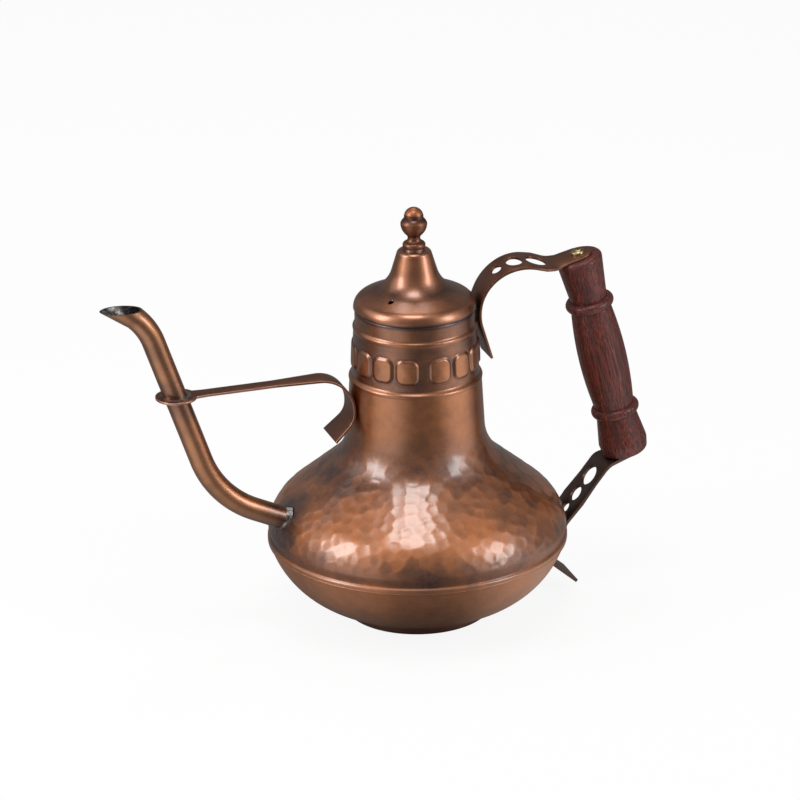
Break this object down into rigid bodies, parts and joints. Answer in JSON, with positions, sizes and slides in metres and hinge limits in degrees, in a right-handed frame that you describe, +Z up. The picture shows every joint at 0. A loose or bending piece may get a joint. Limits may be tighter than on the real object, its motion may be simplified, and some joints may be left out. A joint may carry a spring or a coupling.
{
  "type": "gooseneck kettle",
  "caption": "Round beaten-copper pouring kettle with a slender bent spout, a strap stay, a lift-off domed lid and a turned wooden side grip on pierced straps.",
  "frame": {"origin": "centre of the flat underside of the base, on the axis of the pot", "axes": "+Z up along the axis of the pot, -X towards the spout, +X towards the handle"},
  "size_m": [0.2835, 0.151, 0.2141],
  "materials": {
    "beaten_copper": "hand-beaten antique copper with satin facets",
    "spun_copper": "satin antique copper with fine turning lines",
    "strap_copper": "darkened satin copper strap",
    "dark_copper": "dark oxidised copper",
    "solder": "dull tin solder",
    "grip_wood": "dark red-brown turned hardwood, oiled",
    "screw_brass": "bright brass"
  },
  "bodies": {
    "kettle": {"upper_shell": "beaten_copper", "lower_bowl": "spun_copper", "base_pan": "dark_copper", "seam_solder": "solder", "base_solder": "solder", "spout_tube": "spun_copper", "spout_solder": "solder", "spout_stay": "strap_copper", "stay_ring_solder": "solder", "stay_neck_solder": "solder", "upper_bracket": "strap_copper", "upper_bracket_solder": "solder", "lower_bracket": "dark_copper", "lower_bracket_solder": "solder", "handle_grip": "grip_wood", "upper_grip_screw": "screw_brass", "lower_grip_screw": "screw_brass"},
    "lid": {"lid_cover": "spun_copper", "lid_skirt": "spun_copper", "lid_skirt_solder": "solder", "knob_seat_ring": "solder", "lid_knob": "spun_copper", "knob_washer": "screw_brass", "knob_screw": "screw_brass"}
  },
  "joints": [
    {"name": "lid_lift", "type": "slide", "parent": "kettle", "child": "lid", "axis": [0, 0, 1], "range_m": [0, 0.08]}
  ]
}
